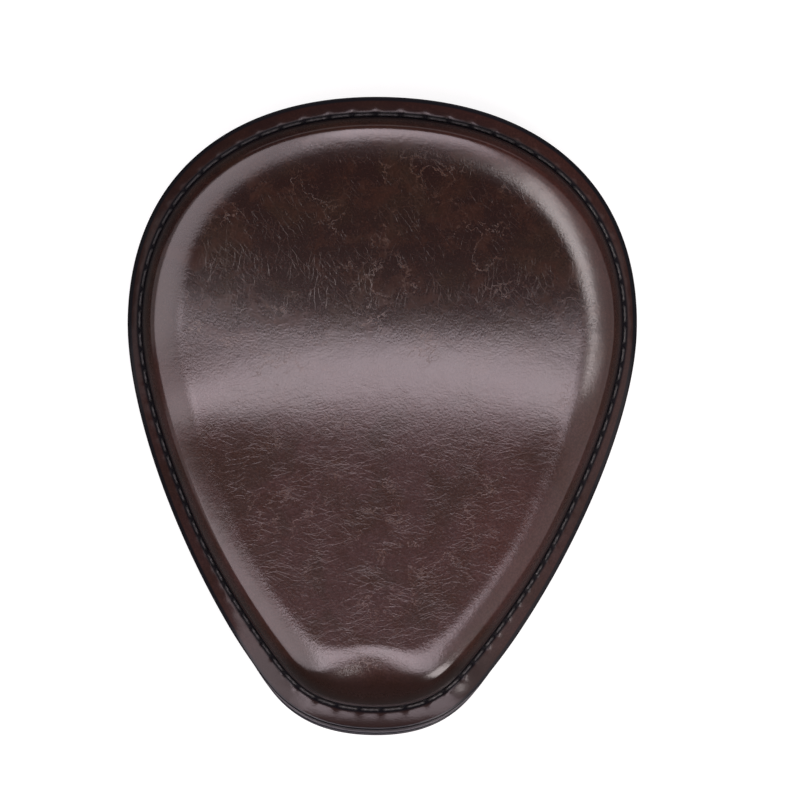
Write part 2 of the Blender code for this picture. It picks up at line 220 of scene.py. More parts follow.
def dish_height(x, y):
    """The padded surface inside its rolled edge."""
    near = np.exp(-(((y - VALLEY_AT) / VALLEY_BEND_HALF) ** 2))
    valley = VALLEY_AT + (VALLEY_SKEW * x - VALLEY_BEND * x**2) * near
    along = dish(y - valley, REAR_SLOPE) + dish(valley - y, NOSE_SLOPE)
    return VALLEY_HEIGHT + along + DISH_ACROSS * x**2


# Plan widths and radii of the rolled edge at stations along the seat: a steep wall, then a crown.
WALL_STATIONS = (
    (-150 * MM, 9 * MM),
    (-100 * MM, 8 * MM),
    (100 * MM, 8 * MM),
    (165 * MM, 7.5 * MM),
)
WALL_POWER = 3.6
CROWN_STATIONS = (
    (-150 * MM, 21.5 * MM),
    (-70 * MM, 19 * MM),
    (60 * MM, 22 * MM),
    (165 * MM, 25 * MM),
)
CROWN_RADIUS_STATIONS = (
    (-150 * MM, 45 * MM),
    (-100 * MM, 34 * MM),
    (90 * MM, 30 * MM),
    (165 * MM, 43 * MM),
)
CROWN_SLOPE = 0.47
NOSE_SCOOP = 17 * MM
NOSE_SCOOP_HALF = 24 * MM
NOSE_SCOOP_START = 70 * MM
NOSE_SCOOP_REACH = 60 * MM
ROLL_LIMIT = 33 * MM


def nose_scoop(x, y):
    """Extra width of the rolled edge in the middle of the nose."""
    along = ease((-y - NOSE_SCOOP_START) / NOSE_SCOOP_REACH)
    return NOSE_SCOOP * np.exp(-((x / NOSE_SCOOP_HALF) ** 2)) * along


def wall_width(x, y):
    return through(WALL_STATIONS, y) + nose_scoop(x, y)


def wall_share(x, y, past_foot):
    """Height of the side wall, 0 at its foot and 1 where it has turned over."""
    share = np.clip(past_foot / wall_width(x, y), 0, 1)
    return (1 - (1 - share) ** WALL_POWER) ** (1 / WALL_POWER)


def crown_drop(x, y, past_foot):
    """How far the padded surface falls off towards the wall, below the dish."""
    radius = through(CROWN_RADIUS_STATIONS, y)
    left = np.maximum(through(CROWN_STATIONS, y) + 0.8 * nose_scoop(x, y) - past_foot, 0)
    return CROWN_SLOPE**2 * radius * np.log(np.cosh(left / (CROWN_SLOPE * radius)))


def cover_height(x, y, inset, past_foot):
    flange = form_height(x, y, inset)
    top = dish_height(x, y) - crown_drop(x, y, past_foot)
    return flange + (top - flange) * wall_share(x, y, past_foot)


# ---- meshes -----------------------------------------------------------------------------------


def link(obj):
    bpy.context.scene.collection.objects.link(obj)
    return obj


def mesh_from(name, points, faces, values=None):
    """A smooth mesh object from numpy points and arrays of quads and triangles, facing out."""
    points = np.asarray(points, float)
    volume = 0.0
    for part in faces:
        for k in range(1, part.shape[1] - 1):
            a, b, c = points[part[:, 0]], points[part[:, k]], points[part[:, k + 1]]
            volume += np.einsum("ij,ij->i", a, np.cross(b, c)).sum()
    if volume < 0:
        faces = [part[:, ::-1] for part in faces]
    data = bpy.data.meshes.new(name)
    loops = np.concatenate([part.ravel() for part in faces])
    sizes = np.concatenate([np.full(len(part), part.shape[1]) for part in faces])
    data.vertices.add(len(points))
    data.vertices.foreach_set("co", points.astype(np.float32).ravel())
    data.loops.add(len(loops))
    data.loops.foreach_set("vertex_index", loops.astype(np.int32))
    data.polygons.add(len(sizes))
    data.polygons.foreach_set("loop_start", np.r_[0, np.cumsum(sizes)[:-1]].astype(np.int32))
    data.polygons.foreach_set("use_smooth", np.ones(len(sizes), bool))
    data.update(calc_edges=True)
    data.validate()
    for key, value in (values or {}).items():
        layer = data.attributes.new(key, "FLOAT", "POINT")
        layer.data.foreach_set("value", np.asarray(value, np.float32))
    return link(bpy.data.objects.new(name, data))


def ring_quads(rows, size, closed=False):
    """Quads between consecutive rings of equal size."""
    row = np.arange(rows if closed else rows - 1)[:, None]
    k = np.arange(size)[None, :]
    here, there = row * size, ((row + 1) % rows) * size
    after = (k + 1) % size
    return np.stack([here + k, there + k, there + after, here + after], axis=-1).reshape(-1, 4)


def grid_normals(grid):
    """Normals of a (rings, segments, 3) grid that looks up, from the outside in."""
    down = np.gradient(grid, axis=0)
    round_ = np.roll(grid, -1, axis=1) - np.roll(grid, 1, axis=1)
    normal = np.cross(down, round_)
    normal /= np.maximum(np.linalg.norm(normal, axis=-1, keepdims=True), 1e-15)
    return normal * np.sign(normal[..., 2].mean())


def edge_arc(top, low, outward, bulge, steps=9):
    """Rings that round the edge from the lower ring to the upper one, which both move in."""
    normal = top - low
    outward = outward - (outward * normal).sum(1)[:, None] * normal / (normal**2).sum(1)[:, None]
    outward /= np.linalg.norm(outward, axis=1)[:, None]
    middle = (top + low) / 2
    arc = []
    for a in np.linspace(-math.pi / 2, math.pi / 2, steps)[1:-1]:
        arc.append(middle + outward * bulge * (math.cos(a) - 1) + normal / 2 * math.sin(a))
    return arc, top - outward * bulge, low - outward * bulge


def shell(name, grid, depth, thickness, values, bulge=0.5 * MM, centre=None, lower_step=1):
    """A closed body from a grid of rings: sunk by depth, with rounded edges.

    With a centre point the rings close over the middle, and without one they leave it open.
    values holds a (rings, segments) array for each attribute.
    """
    size = grid.shape[1]
    normal = grid_normals(grid)
    top, low = grid - normal * depth, grid - normal * (depth + thickness)
    outward = np.column_stack([-INWARD, np.zeros(size)])
    arc, top[0], low[0] = edge_arc(top[0], low[0], outward, bulge)
    kept = sorted({0, *range(0, len(low), lower_step), len(low) - 1})
    rows = [*low[kept[::-1]], *arc, *top]
    order = [*kept[::-1], *[0] * len(arc), *range(len(top))]
    is_upper = [*[0.0] * len(kept), *[1.0] * (len(arc) + len(top))]
    if centre is None:
        inner, rows[-1], rows[0] = edge_arc(top[-1], low[-1], -outward, bulge)
        rows += inner[::-1]
        order += [len(top) - 1] * len(inner)
        is_upper += [0.0] * len(inner)
    points = np.array(rows).reshape(-1, 3)
    faces = [ring_quads(len(rows), size, closed=centre is None)]
    table = {key: np.asarray(value)[order].ravel() for key, value in values.items()}
    table["upper"] = np.repeat(is_upper, size)
    if centre is not None:
        k = np.arange(size)
        after = (k + 1) % size
        at = len(points)
        last = at - size
        points = np.vstack([points, centre - [0, 0, depth], centre - [0, 0, depth + thickness]])
        upper_cap = np.stack([last + k, np.full(size, at), last + after], axis=-1)
        lower_cap = np.stack([after, np.full(size, at + 1), k], axis=-1)
        faces.append(np.vstack([upper_cap, lower_cap]))
        for key in table:
            inner = table[key][-1]
            table[key] = np.r_[table[key], inner, inner if key != "upper" else 0.0]
    return mesh_from(name, points, faces, table)


SEAM = seam_inset(EDGE[:, 1])
FOOT = SEAM + WALL_FROM_SEAM
WALL = wall_width(EDGE[:, 0], EDGE[:, 1])
# How far the cover's edge is set in from the rim.
TOP_SET_STATIONS = (
    (-165 * MM, 1.7 * MM),
    (-110 * MM, 0.3 * MM),
    (60 * MM, 0.1 * MM),
    (165 * MM, 0.3 * MM),
)
TOP_SET = through(TOP_SET_STATIONS, EDGE[:, 1])


def plan(inset):
    """The outline moved in by this much."""
    return EDGE + INWARD * np.asarray(inset)[..., None]


# Distance between the stitch holes.
PITCH_STATIONS = (
    (-165 * MM, 12.0 * MM),
    (-110 * MM, 9.0 * MM),
    (0 * MM, 9.2 * MM),
    (80 * MM, 11.2 * MM),
    (165 * MM, 12.4 * MM),
)


def stitch_holes():
    """Holes along the seam, as outline indices, at slightly uneven steps."""
    points = plan(SEAM)
    steps = np.linalg.norm(np.roll(points, -1, axis=0) - points, axis=1)
    count = np.r_[0, np.cumsum(steps / through(PITCH_STATIONS, points[:, 1]))]
    total = round(count[-1])
    holes = np.arange(total) + RNG.uniform(-0.05, 0.05, total) + 0.5
    return np.interp(holes * count[-1] / total, count, np.arange(SEGMENTS + 1)) % SEGMENTS


HOLES = np.sort(stitch_holes())


def hole_distance(k):
    gap = np.abs((k[:, None] - HOLES[None, :] + SEGMENTS / 2) % SEGMENTS - SEGMENTS / 2)
    return gap.min(axis=1) * PERIMETER / SEGMENTS


HOLE = hole_distance(np.arange(SEGMENTS, dtype=float))
GROOVE = 0.35 * MM
GROOVE_HALF = 1.2 * MM
PULL = 0.5 * MM
PULL_HALF = (1.7 * MM, 2.6 * MM)
BULGE = 1.1 * MM
FLANGE_RINGS, WALL_RINGS, CROWN_RINGS, INNER_RINGS = 26, 30, 22, 56


def cover_grid():
    """Rings of the cover's grain side, from the flange's edge to the middle."""
    rows, insets, pasts = [], [], []
    for share in np.r_[0, np.linspace(0.1, 1, FLANGE_RINGS)]:
        inset = TOP_SET + share * (FOOT - TOP_SET)
        p = plan(inset)
        from_seam = inset - SEAM
        sink = GROOVE * np.exp(-((from_seam / GROOVE_HALF) ** 2))
        pull = PULL * np.exp(-((HOLE / PULL_HALF[0]) ** 2) - (from_seam / PULL_HALF[1]) ** 2)
        z = form_height(p[:, 0], p[:, 1], inset) - sink - pull
        rows.append(np.column_stack([p, z]))
        insets.append(inset)
        pasts.append(inset - FOOT)
    turns = np.linspace(0, math.pi / 2, WALL_RINGS)[1:]
    wall = [(1 - math.cos(a) ** (2 / WALL_POWER)) * WALL for a in turns]
    crown = [WALL + (ROLL_LIMIT - WALL) * a for a in np.linspace(0, 1, CROWN_RINGS)[1:]]
    for past in wall + crown:
        inset = FOOT + past
        p = plan(inset)
        z = cover_height(p[:, 0], p[:, 1], inset, past)
        share = wall_share(p[:, 0], p[:, 1], past)
        out = BULGE * np.sin(math.pi * np.clip(share / 0.9, 0, 1))
        rows.append(np.column_stack([p - INWARD * out[:, None], z]))
        insets.append(inset)
        pasts.append(past)
    last = plan(FOOT + ROLL_LIMIT)
    for share in np.linspace(1, 0, INNER_RINGS)[1:-1]:
        p = MIDDLE + (last - MIDDLE) * share
        inset = inset_of(p[:, 0], p[:, 1])
        past = inset - seam_inset(p[:, 1]) - WALL_FROM_SEAM
        rows.append(np.column_stack([p, cover_height(p[:, 0], p[:, 1], inset, past)]))
        insets.append(inset)
        pasts.append(past)
    return np.array(rows), np.array(insets), np.array(pasts)


def middle_of(grid):
    return np.array([*MIDDLE, grid[-1, :, 2].mean()])


def form_grid(first, last, count, inner=0):
    """Rings of the pressed form from one inset to another, and then on to the middle."""
    rows, insets = [], []
    for share in np.linspace(0, 1, count):
        inset = first + (last - first) * share
        p = plan(inset)
        rows.append(np.column_stack([p, form_height(p[:, 0], p[:, 1], inset)]))
        insets.append(inset)
    for share in np.linspace(1, 0, inner + 1)[1:-1]:
        p = MIDDLE + (plan(last) - MIDDLE) * share
        inset = inset_of(p[:, 0], p[:, 1])
        rows.append(np.column_stack([p, form_height(p[:, 0], p[:, 1], inset)]))
        insets.append(inset)
    return np.array(rows), np.array(insets)


def even(value):
    """The same inset all round the outline."""
    return np.full(SEGMENTS, value)


COVER_GRID, COVER_INSETS, COVER_PASTS = cover_grid()
cover = shell(
    "cover_skin",
    COVER_GRID,
    0.0,
    TOP_LEATHER,
    {"inset": COVER_INSETS, "past_foot": COVER_PASTS},
    bulge=0.7 * MM,
    centre=middle_of(COVER_GRID),
    lower_step=3,
)

FILLER_GRID, FILLER_INSETS = form_grid(even(0.25 * MM), SEAM + 2.6 * MM, 14)
filler = shell(
    "rim_filler_leather",
    FILLER_GRID,
    CORE_DEPTH,
    CORE,
    {"inset": FILLER_INSETS},
    bulge=0.6 * MM,
)

UNDER_GRID, UNDER_INSETS = form_grid(even(0.0), SEAM + 17 * MM, 30)
under = shell(
    "underside_leather",
    UNDER_GRID,
    BOTTOM_DEPTH,
    BOTTOM_LEATHER,
    {"inset": UNDER_INSETS},
    bulge=0.5 * MM,
)

PAN_GRID, PAN_INSETS = form_grid(SEAM + 3.6 * MM, even(30 * MM), 16, inner=30)
pan = shell(
    "seat_pan_pressing",
    PAN_GRID,
    CORE_DEPTH,
    CORE,
    {"inset": PAN_INSETS},
    bulge=0.7 * MM,
    centre=middle_of(PAN_GRID),
)


# ---- thread -----------------------------------------------------------------------------------

THREAD_RADIUS = 0.85 * MM
PLIES = 3
TWIST = 3.4 * MM
STITCH_GAP = 0.25 * MM
STITCH_RINGS, THREAD_SIDES = 30, 14
DIP_REACH = 1.9 * MM
TAPER_REACH = 1.4 * MM
END_SHARE = 0.75
THREAD_FLATNESS = 0.82
PLY_RADIUS = (0.93, 0.11)


def seam_frame():
    """The seam's points on the form and their normals."""
    near = form_grid(SEAM - 0.3 * MM, SEAM + 0.3 * MM, 3)[0]
    return near[1], grid_normals(near)[1]


SEAM_LINE, SEAM_NORMAL = seam_frame()


def at_seam(k):
    """A point on the form at the seam, with its normal, for a fractional outline index."""
    low = int(math.floor(k)) % SEGMENTS
    high, part = (low + 1) % SEGMENTS, k - math.floor(k)
    p = SEAM_LINE[low] * (1 - part) + SEAM_LINE[high] * part
    n = SEAM_NORMAL[low] * (1 - part) + SEAM_NORMAL[high] * part
    return p, n / np.linalg.norm(n)


def stitch_tube(start, end, rest, dip, turn):
    """One twisted stitch: rings of a tube that comes out of one hole and goes into the next."""
    frames = [at_seam(value) for value in np.linspace(start, end, STITCH_RINGS)]
    line, up = np.array([f[0] for f in frames]), np.array([f[1] for f in frames])
    t = np.linspace(0, 1, STITCH_RINGS)
    near_end = np.minimum(t, 1 - t) * np.linalg.norm(line[-1] - line[0])
    line = line + up * (rest - dip * (1 - ease(near_end / DIP_REACH)))[:, None]
    tangent = np.gradient(line, axis=0)
    tangent /= np.linalg.norm(tangent, axis=1)[:, None]
    side = np.cross(tangent, up)
    side /= np.linalg.norm(side, axis=1)[:, None]
    over = np.cross(side, tangent)
    travelled = np.r_[0, np.cumsum(np.linalg.norm(np.diff(line, axis=0), axis=1))]
    phi = np.arange(THREAD_SIDES) * math.tau / THREAD_SIDES
    lobe = PLIES * (phi[None, :] - math.tau * travelled[:, None] / (PLIES * TWIST) - turn)
    taper = END_SHARE + (1 - END_SHARE) * ease(near_end / TAPER_REACH)
    radius = THREAD_RADIUS * taper[:, None] * (PLY_RADIUS[0] + PLY_RADIUS[1] * np.cos(lobe))
    across = np.cos(phi)[None, :, None] * side[:, None, :]
    upwards = THREAD_FLATNESS * np.sin(phi)[None, :, None] * over[:, None, :]
    return line[:, None, :] + (across + upwards) * radius[..., None]


def build_stitches(name, level, dip):
    """All stitches of one thread as one piece. level is where the thread's middle rests."""
    points, quads, triangles = [], [], []
    at = 0
    gap = STITCH_GAP / (PERIMETER / SEGMENTS)
    k = np.arange(THREAD_SIDES)
    after = (k + 1) % THREAD_SIDES
    for n, start in enumerate(HOLES):
        end = HOLES[(n + 1) % len(HOLES)]
        if end < start:
            end += SEGMENTS
        tube = stitch_tube(start + gap, end - gap, level, dip, RNG.uniform(0, math.tau))
        points += [tube.reshape(-1, 3), tube[0].mean(axis=0)[None], tube[-1].mean(axis=0)[None]]
        quads.append(ring_quads(STITCH_RINGS, THREAD_SIDES) + at)
        first, last = at, at + (STITCH_RINGS - 1) * THREAD_SIDES
        centre = np.full(THREAD_SIDES, last + THREAD_SIDES)
        triangles.append(np.stack([first + k, first + after, centre], -1))
        triangles.append(np.stack([last + after, last + k, centre + 1], -1))
        at = last + THREAD_SIDES + 2
    return mesh_from(name, np.vstack(points), [np.vstack(quads), np.vstack(triangles)])


top_stitches = build_stitches("needle_stitches", 0.15 * MM, 2.2 * MM)
LOW_LEVEL = -(BOTTOM_DEPTH + BOTTOM_LEATHER + 0.25 * MM)
low_stitches = build_stitches("bobbin_stitches", LOW_LEVEL, -1.4 * MM)


# ---- foam, plates and nuts --------------------------------------------------------------------


def cad_copy(node, name):
    """A new piece from a CAD node's mesh, with its corners joined."""
    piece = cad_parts[node].copy()
    piece.data = piece.data.copy()
    piece.name = name
    piece.parent = None
    for key in list(piece.keys()):
        del piece[key]
    link(piece)
    mesh = bmesh.new()
    mesh.from_mesh(piece.data)
    bmesh.ops.remove_doubles(mesh, verts=mesh.verts, dist=1e-6)
    bmesh.ops.dissolve_limit(mesh, angle_limit=math.radians(2), verts=mesh.verts, edges=mesh.edges)
    mesh.to_mesh(piece.data)
    mesh.free()
    return piece


def apply_modifiers(obj):
    graph = bpy.context.evaluated_depsgraph_get()
    data = bpy.data.meshes.new_from_object(obj.evaluated_get(graph), depsgraph=graph)
    obj.modifiers.clear()
    obj.data = data


def bevelled(obj, width, segments=2, degrees=40):
    bevel = obj.modifiers.new("edge", "BEVEL")
    bevel.width = width
    bevel.segments = segments
    bevel.limit_method = "ANGLE"
    bevel.angle_limit = math.radians(degrees)
    apply_modifiers(obj)
    obj.data.polygons.foreach_set("use_smooth", np.ones(len(obj.data.polygons), bool))
    obj.data.set_sharp_from_angle(angle=math.radians(50))


PLATES = ("nose_plate", "rear_left_plate", "rear_right_plate")
plates = []
for node_name in PLATES:
    plate = cad_copy(node_name, node_name + "_steel")
    bevelled(plate, 0.35 * MM)
    plates.append((plate, node_name))

NUTS = sorted(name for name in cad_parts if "_nut_" in name)
NUT_FLATS = 13 * MM
BORE = 3.4 * MM
THREAD_PITCH = 1.25 * MM
THREAD_DEPTH = 0.45 * MM
BORE_MOUTH = BORE + 0.55 * MM
FACE_SHARE = 0.97
NUT_SIDES = 72
NUT_BORE_RINGS = 44


def build_nut(node_name):
    """A hexagon nut with chamfered corners and a threaded bore."""
    low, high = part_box(node_name)
    x, y = (low.x + high.x) / 2, (low.y + high.y) / 2
    height = high.z - low.z
    phi = np.arange(NUT_SIDES) * math.tau / NUT_SIDES
    turned = (phi + math.pi / 6) % (math.pi / 3) - math.pi / 6
    turned_hex = NUT_FLATS / 2 / np.cos(turned)
    inner = np.full(NUT_SIDES, NUT_FLATS / 2 * FACE_SHARE)
    rise = (turned_hex - inner) * math.tan(math.radians(30))
    level, mouth = np.zeros(NUT_SIDES), np.full(NUT_SIDES, BORE_MOUTH)
    rings = [(inner, level), (turned_hex, rise), (turned_hex, height - rise)]
    rings += [(inner, level + height), (mouth, level + height)]
    for z in np.linspace(height - 0.5 * MM, 0.5 * MM, NUT_BORE_RINGS):
        wave = 0.5 + 0.5 * np.cos(math.tau * z / THREAD_PITCH - phi)
        rings.append((BORE + THREAD_DEPTH * wave, level + z))
    rings.append((mouth, level))
    points = []
    for radius, z in rings:
        flat = [x + radius * np.cos(phi), y + radius * np.sin(phi)]
        points.append(np.column_stack([*flat, low.z + z]))
    faces = ring_quads(len(rings), NUT_SIDES, closed=True)
    nut = mesh_from(node_name + "_zinc", np.vstack(points), [faces])
    nut.data.set_sharp_from_angle(angle=math.radians(28))
    return nut


nuts = [(build_nut(name), name) for name in NUTS]

FOAM_START = 0.9 * MM
FOAM_LEAST = 0.2 * MM


def build_foam():
    """The moulded pad: its top follows the cover, and its bottom follows the pan."""
    past = COVER_PASTS.mean(axis=1)
    first = int(np.argmax(past > FOAM_START))
    normal = grid_normals(COVER_GRID)
    rows = (COVER_GRID - normal * (TOP_LEATHER + GAP))[first:]
    base = []
    for row in rows:
        form = form_height(row[:, 0], row[:, 1], inset_of(row[:, 0], row[:, 1]))
        base.append(np.column_stack([row[:, :2], form - CORE_DEPTH + GAP]))
    base = np.array(base)
    keep = slice(None, None, 3)
    top, low = rows[:, keep], base[::4][:, keep]
    top[:, :, 2] = np.maximum(top[:, :, 2], base[:, keep, 2] + FOAM_LEAST)
    size = top.shape[1]
    grid = np.vstack([low[::-1], top])
    points = grid.reshape(-1, 3)
    at = len(points)
    k = np.arange(size)
    after = (k + 1) % size
    last = at - size
    points = np.vstack([points, middle_of(top), middle_of(low)])
    upper_cap = np.stack([last + k, np.full(size, at), last + after], -1)
    lower_cap = np.stack([after, np.full(size, at + 1), k], -1)
    caps = np.vstack([upper_cap, lower_cap])
    return mesh_from("foam_pad_moulded", points, [ring_quads(len(grid), size), caps])


foam = build_foam()


def cut_holes(obj, centres, radius, low, sides=40):
    """Cuts upright round holes, from low up to each centre's own height."""
    mesh = bmesh.new()
    for x, y, high in centres:
        size = {"radius1": radius, "radius2": radius, "depth": high - low}
        made = bmesh.ops.create_cone(mesh, cap_ends=True, segments=sides, **size)
        bmesh.ops.translate(mesh, vec=(x, y, (low + high) / 2), verts=made["verts"])
    data = bpy.data.meshes.new("drill")
    mesh.to_mesh(data)
    mesh.free()
    drill = link(bpy.data.objects.new("drill", data))
    cutter = obj.modifiers.new("cut", "BOOLEAN")
    cutter.operation = "DIFFERENCE"
    cutter.solver = "EXACT"
    cutter.object = drill
    apply_modifiers(obj)
    bpy.data.objects.remove(drill)
    bpy.data.meshes.remove(data)
    obj.data.set_sharp_from_angle(angle=math.radians(50))


BOLT_HOLE_RADIUS = 4.3 * MM
POCKET_RADIUS = 9.5 * MM
BOLT_HEADROOM = 5 * MM
DRILL_LOW = -20 * MM


def bolt_places():
    """Plan place of each bolt, with the height up to which the foam leaves room for it."""
    places = []
    for name in NUTS:
        low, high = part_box(name)
        middle = (low + high) / 2
        places.append((middle.x, middle.y, high.z + BOLT_HEADROOM))
    return places


cut_holes(pan, bolt_places(), BOLT_HOLE_RADIUS, DRILL_LOW)
cut_holes(foam, bolt_places(), POCKET_RADIUS, DRILL_LOW)


# ---- materials --------------------------------------------------------------------------------


class Finish:
    """A node material: each method adds one node and returns its output socket."""

    def __init__(self, name, **plain):
        self.material = bpy.data.materials.new(name)
        self.material.use_nodes = True
        self.tree = self.material.node_tree
        self.shader = self.tree.nodes["Principled BSDF"]
        for key, value in plain.items():
            label = key.replace("_", " ").title().replace("Ior", "IOR")
            self.shader.inputs[label].default_value = value
        self.place = self.node("TexCoord").outputs["Object"]

    def node(self, kind, inputs=None, **settings):
        made = self.tree.nodes.new("ShaderNode" + kind)
        for key, value in settings.items():
            setattr(made, key, value)
        for key, value in (inputs or {}).items():
            self.put(value, made.inputs[key])
        return made

    def put(self, value, socket):
        if isinstance(value, bpy.types.NodeSocket):
            self.tree.links.new(value, socket)
        else:
            socket.default_value = value

    def math(self, operation, a, b=0.0, c=0.0, clamp=False):
        return self.node("Math", {0: a, 1: b, 2: c}, operation=operation, use_clamp=clamp).outputs[0]

    def noise(self, size, detail=2.0, roughness=0.5, distortion=0.0, place=None):
        """Noise with features of about this size in metres."""
        inputs = {"Vector": place or self.place, "Scale": 1 / size, "Detail": detail}
        inputs |= {"Roughness": roughness, "Distortion": distortion}
        return self.node("TexNoise", inputs).outputs["Fac"]

    def cells(self, size, feature, place=None):
        """Distance inside cells of about this size in metres, or to their edges."""
        inputs = {"Vector": place or self.place, "Scale": 1 / size}
        return self.node("TexVoronoi", inputs, feature=feature).outputs["Distance"]

    def band(self, value, low, high, to_low=0.0, to_high=1.0):
        """A smooth step from to_low to to_high as value goes from low to high."""
        inputs = {0: value, 1: low, 2: high, 3: to_low, 4: to_high}
        return self.node("MapRange", inputs, interpolation_type="SMOOTHSTEP").outputs[0]

    def product(self, a, b):
        return self.math("MULTIPLY", a, b)

    def most(self, *values):
        """The greatest of two or more values."""
        found = values[0]
        for value in values[1:]:
            found = self.math("MAXIMUM", found, value)
        return found

    def mix(self, share, a, b):
        return self.node("Mix", {0: share, 6: a, 7: b}, data_type="RGBA").outputs[2]

    def attribute(self, name):
        """A value that the mesh holds at its points."""
        return self.node("Attribute", attribute_name=name).outputs["Fac"]

    def axes(self):
        return self.node("SeparateXYZ", {0: self.place}).outputs

    def moved(self, amount):
        """The place, moved to another part of the noise."""
        return self.node("VectorMath", {0: self.place, 1: (amount, amount, 0)}).outputs[0]

    def blob(self, x, y, half_x, half_y):
        """1 at a place on the seat, fading to 0 about half_x and half_y away."""
        axes = self.axes()
        u = self.math("DIVIDE", self.math("SUBTRACT", axes["X"], x), half_x)
        v = self.math("DIVIDE", self.math("SUBTRACT", axes["Y"], y), half_y)
        square = self.math("ADD", self.product(u, u), self.product(v, v))
        return self.math("EXPONENT", self.product(square, -1.0))

    def scaled(self, place, factors):
        return self.node("VectorMath", {0: place, 1: factors}, operation="MULTIPLY").outputs[0]

    def shifted(self, amount, size, detail=1.0):
        """The place, pushed about by noise, so that a pattern's lines wander."""
        push = self.node("TexNoise", {"Vector": self.place, "Scale": 1 / size, "Detail": detail})
        from_middle = {0: push.outputs["Color"], 1: (0.5, 0.5, 0.5)}
        centred = self.node("VectorMath", from_middle, operation="SUBTRACT").outputs[0]
        moved = self.scaled(centred, (amount, amount, amount))
        return self.node("VectorMath", {0: self.place, 1: moved}).outputs[0]

    def creases(self, degrees, seed, along=0.011, across=0.0032, width=0.05):
        """A network of fine creases drawn out at about this angle, gathered in some places."""
        turn = {"Vector": self.shifted(0.006, 0.012, 4.0), "Angle": math.radians(-degrees)}
        turned = self.node("VectorRotate", turn, rotation_type="Z_AXIS").outputs[0]
        flat = self.scaled(turned, (1 / along, 1 / across, 0.0))
        seeded = self.node("VectorMath", {0: flat, 1: (seed * 7, seed * 13, seed)}).outputs[0]
        line = self.band(self.cells(1.0, "DISTANCE_TO_EDGE", seeded), width, 0.0)
        where = self.band(self.noise(0.013, 3, 0.65, 0.0, self.moved(seed)), 0.42, 0.62)
        return self.product(line, where)

    def bump(self, height, distance, onto=None):
        """height is from 0 to 1, and distance is what 1 stands for in metres."""
        inputs = {"Height": height, "Distance": distance}
        if onto is not None:
            inputs["Normal"] = onto
        return self.node("Bump", inputs).outputs[0]

    def finish(self, **sockets):
        """Links the shader's sockets and returns the material."""
        for key, value in sockets.items():
            self.put(value, self.shader.inputs[key.replace("_", " ").title()])
        return self.material


def rgb(r, g, b):
    return (r, g, b, 1.0)


def leather_mottling(f, past, speck):
    """The leather's tint with olive and reddish patches; paler in front and darker at the rear as
    painted reflection and shade, and redder walls towards the rear right as painted light.
    """
    y = f.axes()["Y"]
    patch = f.band(f.noise(0.014, 5, 0.62, 0.5), 0.45, 0.66)
    olive = f.band(f.noise(0.028, 3, 0.5, 0.5, f.moved(0.3)), 0.46, 0.66)
    # Paler in front and darker at the rear: painted reflection in front, painted shade at the rear.
    rear = f.band(y, -0.005, 0.055)
    colour = f.mix(rear, rgb(0.051, 0.0225, 0.0205), rgb(0.0150, 0.0042, 0.0030))
    colour = f.mix(f.product(olive, 0.55), colour, rgb(0.026, 0.0125, 0.0060))
    colour = f.mix(f.product(patch, 0.6), colour, rgb(0.036, 0.0120, 0.0062))
    # flank and front are reddish patches of the leather; the walls are painted redder, most at the
    # rear right corner, as painted light from the side and rear lamps.
    flank = f.product(f.blob(0.066, -0.062, 0.022, 0.030), 0.8)
    front = f.product(f.blob(0.030, -0.080, 0.020, 0.012), 0.35)
    corner = f.blob(0.085, 0.115, 0.070, 0.075)
    wall = f.product(f.band(past, 0.018, 0.006), f.math("MULTIPLY_ADD", corner, 0.80, 0.16))
    patches_and_lit_walls = f.most(flank, front, wall)
    patches_and_lit_walls = f.math("MULTIPLY", patches_and_lit_walls, f.band(speck, 0.2, 0.8, 0.6, 1.0), clamp=True)
    return f.mix(f.product(patches_and_lit_walls, 0.7), colour, rgb(0.072, 0.0255, 0.0205))


def leather_creases(f, past):
    """Two masks: short fine creases, across in front and along at the rear, and long veins."""
    y = f.axes()["Y"]
    inner = f.band(past, 0.010, 0.024)
    front = f.product(f.band(y, 0.06, -0.02), f.most(f.creases(-14, 0.0), f.creases(20, 0.4)))
    rear = f.product(f.band(y, 0.02, 0.07), f.most(f.creases(82, 0.8), f.creases(-52, 1.3)))
    middle = f.math("SUBTRACT", f.noise(0.020, 6, 0.62, 0.3, f.moved(0.7)), 0.5)
    vein = f.band(f.math("ABSOLUTE", middle), 0.009, 0.0)
    vein = f.product(vein, f.band(f.noise(0.030, 2), 0.45, 0.62))
    return f.product(f.most(front, rear), inner), f.product(vein, inner)


